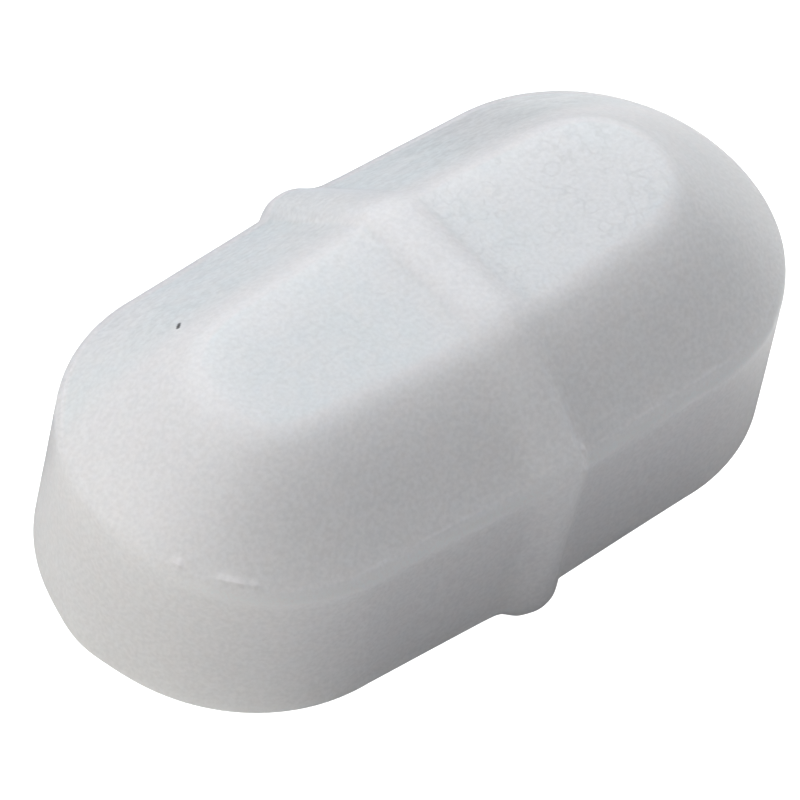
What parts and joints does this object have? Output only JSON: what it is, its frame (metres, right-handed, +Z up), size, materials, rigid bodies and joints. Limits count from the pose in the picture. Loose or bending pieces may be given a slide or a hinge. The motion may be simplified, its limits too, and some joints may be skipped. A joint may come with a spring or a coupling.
{
  "type": "magnetic stir bar",
  "caption": "Octagonal magnetic stir bar with round ends, bevelled facets, a moulded pivot ring round its middle and a magnet rod sealed inside.",
  "frame": {"origin": "the bar's centre, on the axis of the magnet rod and in the middle plane of the pivot ring", "axes": "+X along the bar, +Y across it towards one upright wall, +Z up through a flat facet"},
  "size_m": [0.016, 0.0088, 0.0084],
  "materials": {
    "jacket_polymer": "compression moulded and sintered white PTFE, milky and waxy",
    "magnet_alloy": "cast and ground aluminium-nickel-cobalt magnet alloy"
  },
  "bodies": {
    "root": {"jacket": "jacket_polymer", "magnet": "magnet_alloy"}
  },
  "joints": []
}
